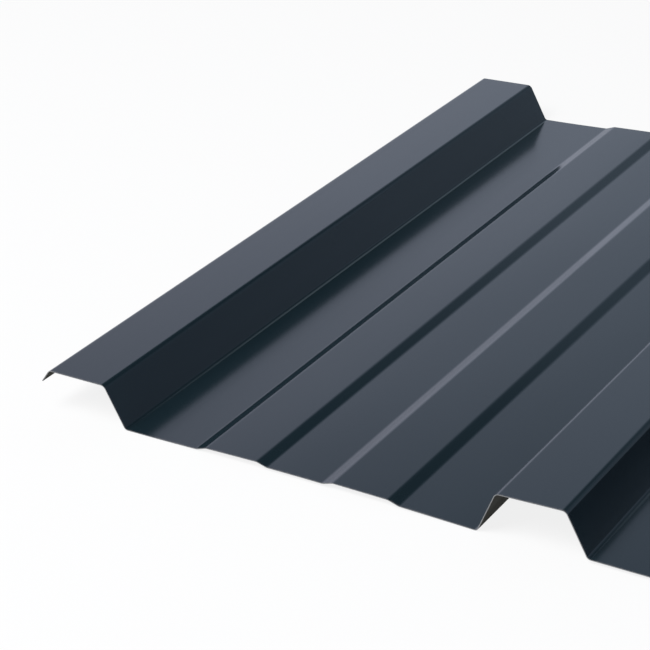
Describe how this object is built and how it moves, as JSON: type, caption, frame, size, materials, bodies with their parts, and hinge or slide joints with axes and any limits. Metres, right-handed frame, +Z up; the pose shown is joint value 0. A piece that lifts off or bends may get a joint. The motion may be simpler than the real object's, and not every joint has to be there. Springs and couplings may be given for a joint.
{
  "type": "corrugated metal sheet",
  "caption": "Trapezoidal steel roofing or cladding sheet with a dark grey coating, flat-topped ribs, low stiffened pans and lapping edges.",
  "frame": {"origin": "middle of the covered width and of the length, on the underside of the middle pan", "axes": "+X across the ribs towards the under-lap edge, +Y along the ribs, +Z up out of the weather side"},
  "size_m": [1.0629, 0.58, 0.0298],
  "materials": {
    "coated_steel": "semi-gloss anthracite coil coating over galvanised steel, matt dark grey backing coat underneath, bare cut edges"
  },
  "bodies": {
    "root": {"profiled_sheet": "coated_steel"}
  },
  "joints": []
}
